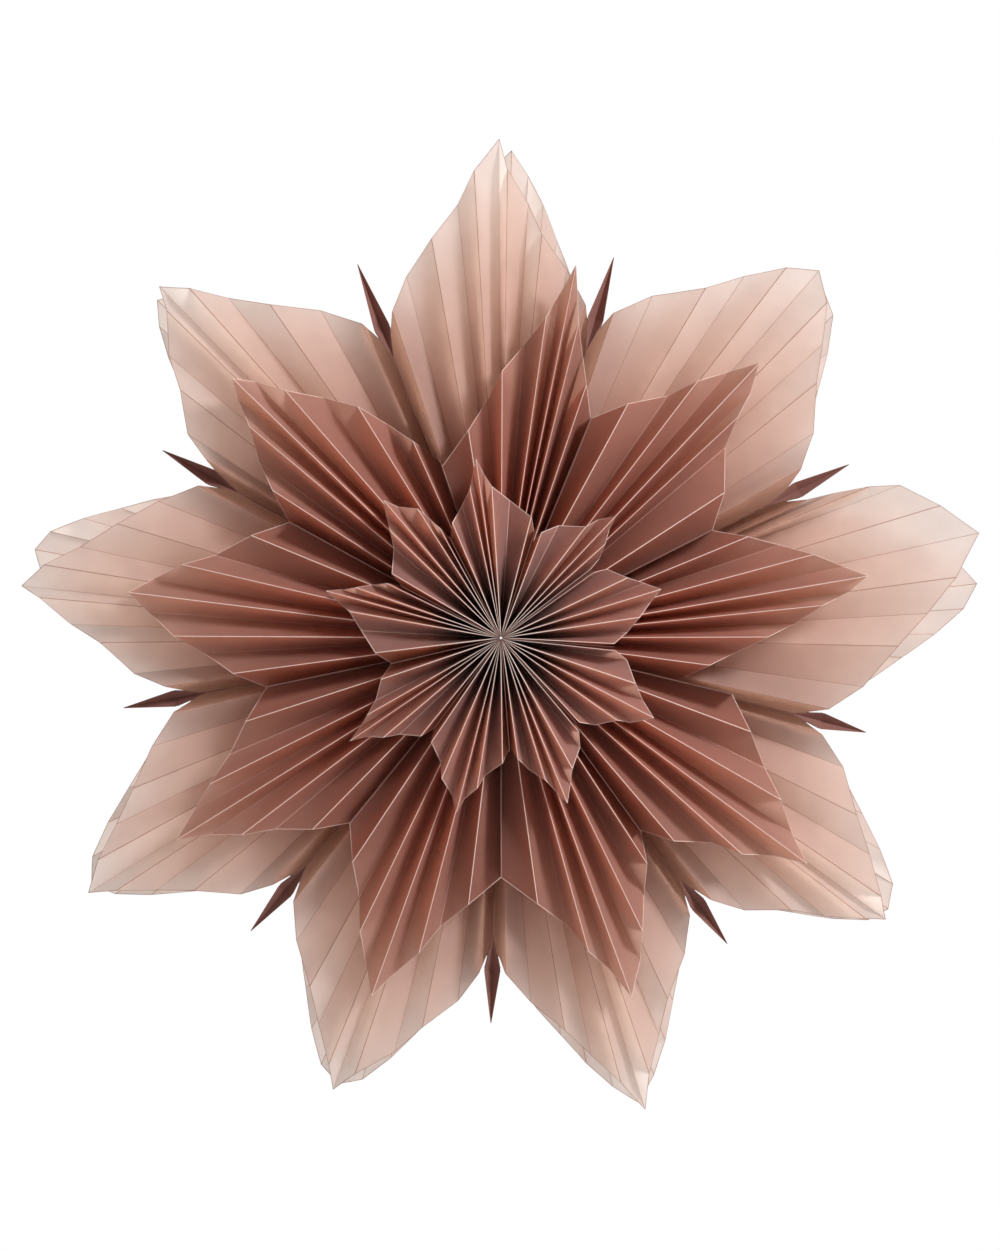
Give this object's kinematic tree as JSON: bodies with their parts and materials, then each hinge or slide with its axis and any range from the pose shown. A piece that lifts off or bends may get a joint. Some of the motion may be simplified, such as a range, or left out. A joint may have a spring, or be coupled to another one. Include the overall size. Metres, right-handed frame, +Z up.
{
  "type": "paper star",
  "caption": "Hanging star of thin pleated paper: layered leaf-shaped petals stand round a hub on the front and back, glued between end walls that show as dark spikes.",
  "frame": {"origin": "at the hub, halfway through the star's thickness, where all the folds meet", "axes": "+Z up with the star hanging upright, -Y out of its front, +X to the right seen from the front"},
  "size_m": [0.5755, 0.1022, 0.584],
  "materials": {
    "outer_paper": "matt, translucent",
    "middle_paper": "matt, translucent",
    "inner_paper": "matt, translucent",
    "wall_paper": "matt"
  },
  "bodies": {
    "root": {"front_inner_petal_1": "inner_paper", "front_inner_petal_2": "inner_paper", "front_inner_petal_3": "inner_paper", "front_inner_petal_4": "inner_paper", "front_inner_petal_5": "inner_paper", "front_inner_petal_6": "inner_paper", "front_inner_petal_7": "inner_paper", "front_inner_petal_8": "inner_paper", "front_inner_petal_9": "inner_paper", "front_middle_petal_1": "middle_paper", "front_middle_petal_2": "middle_paper", "front_middle_petal_3": "middle_paper", "front_middle_petal_4": "middle_paper", "front_middle_petal_5": "middle_paper", "front_middle_petal_6": "middle_paper", "front_middle_petal_7": "middle_paper", "front_middle_petal_8": "middle_paper", "front_middle_petal_9": "middle_paper", "front_outer_petal_1": "outer_paper", "front_outer_petal_2": "outer_paper", "front_outer_petal_3": "outer_paper", "front_outer_petal_4": "outer_paper", "front_outer_petal_5": "outer_paper", "front_outer_petal_6": "outer_paper", "front_outer_petal_7": "outer_paper", "front_outer_petal_8": "outer_paper", "front_outer_petal_9": "outer_paper", "back_outer_petal_1": "outer_paper", "back_outer_petal_2": "outer_paper", "back_outer_petal_3": "outer_paper", "back_outer_petal_4": "outer_paper", "back_outer_petal_5": "outer_paper", "back_outer_petal_6": "outer_paper", "back_outer_petal_7": "outer_paper", "back_outer_petal_8": "outer_paper", "back_outer_petal_9": "outer_paper", "back_middle_petal_1": "middle_paper", "back_middle_petal_2": "middle_paper", "back_middle_petal_3": "middle_paper", "back_middle_petal_4": "middle_paper", "back_middle_petal_5": "middle_paper", "back_middle_petal_6": "middle_paper", "back_middle_petal_7": "middle_paper", "back_middle_petal_8": "middle_paper", "back_middle_petal_9": "middle_paper", "back_inner_petal_1": "inner_paper", "back_inner_petal_2": "inner_paper", "back_inner_petal_3": "inner_paper", "back_inner_petal_4": "inner_paper", "back_inner_petal_5": "inner_paper", "back_inner_petal_6": "inner_paper", "back_inner_petal_7": "inner_paper", "back_inner_petal_8": "inner_paper", "back_inner_petal_9": "inner_paper", "clockwise_walls": "wall_paper", "counter_walls": "wall_paper", "middle_clockwise_walls": "wall_paper", "inner_clockwise_walls": "wall_paper", "middle_counter_walls": "wall_paper", "inner_counter_walls": "wall_paper"}
  },
  "joints": []
}
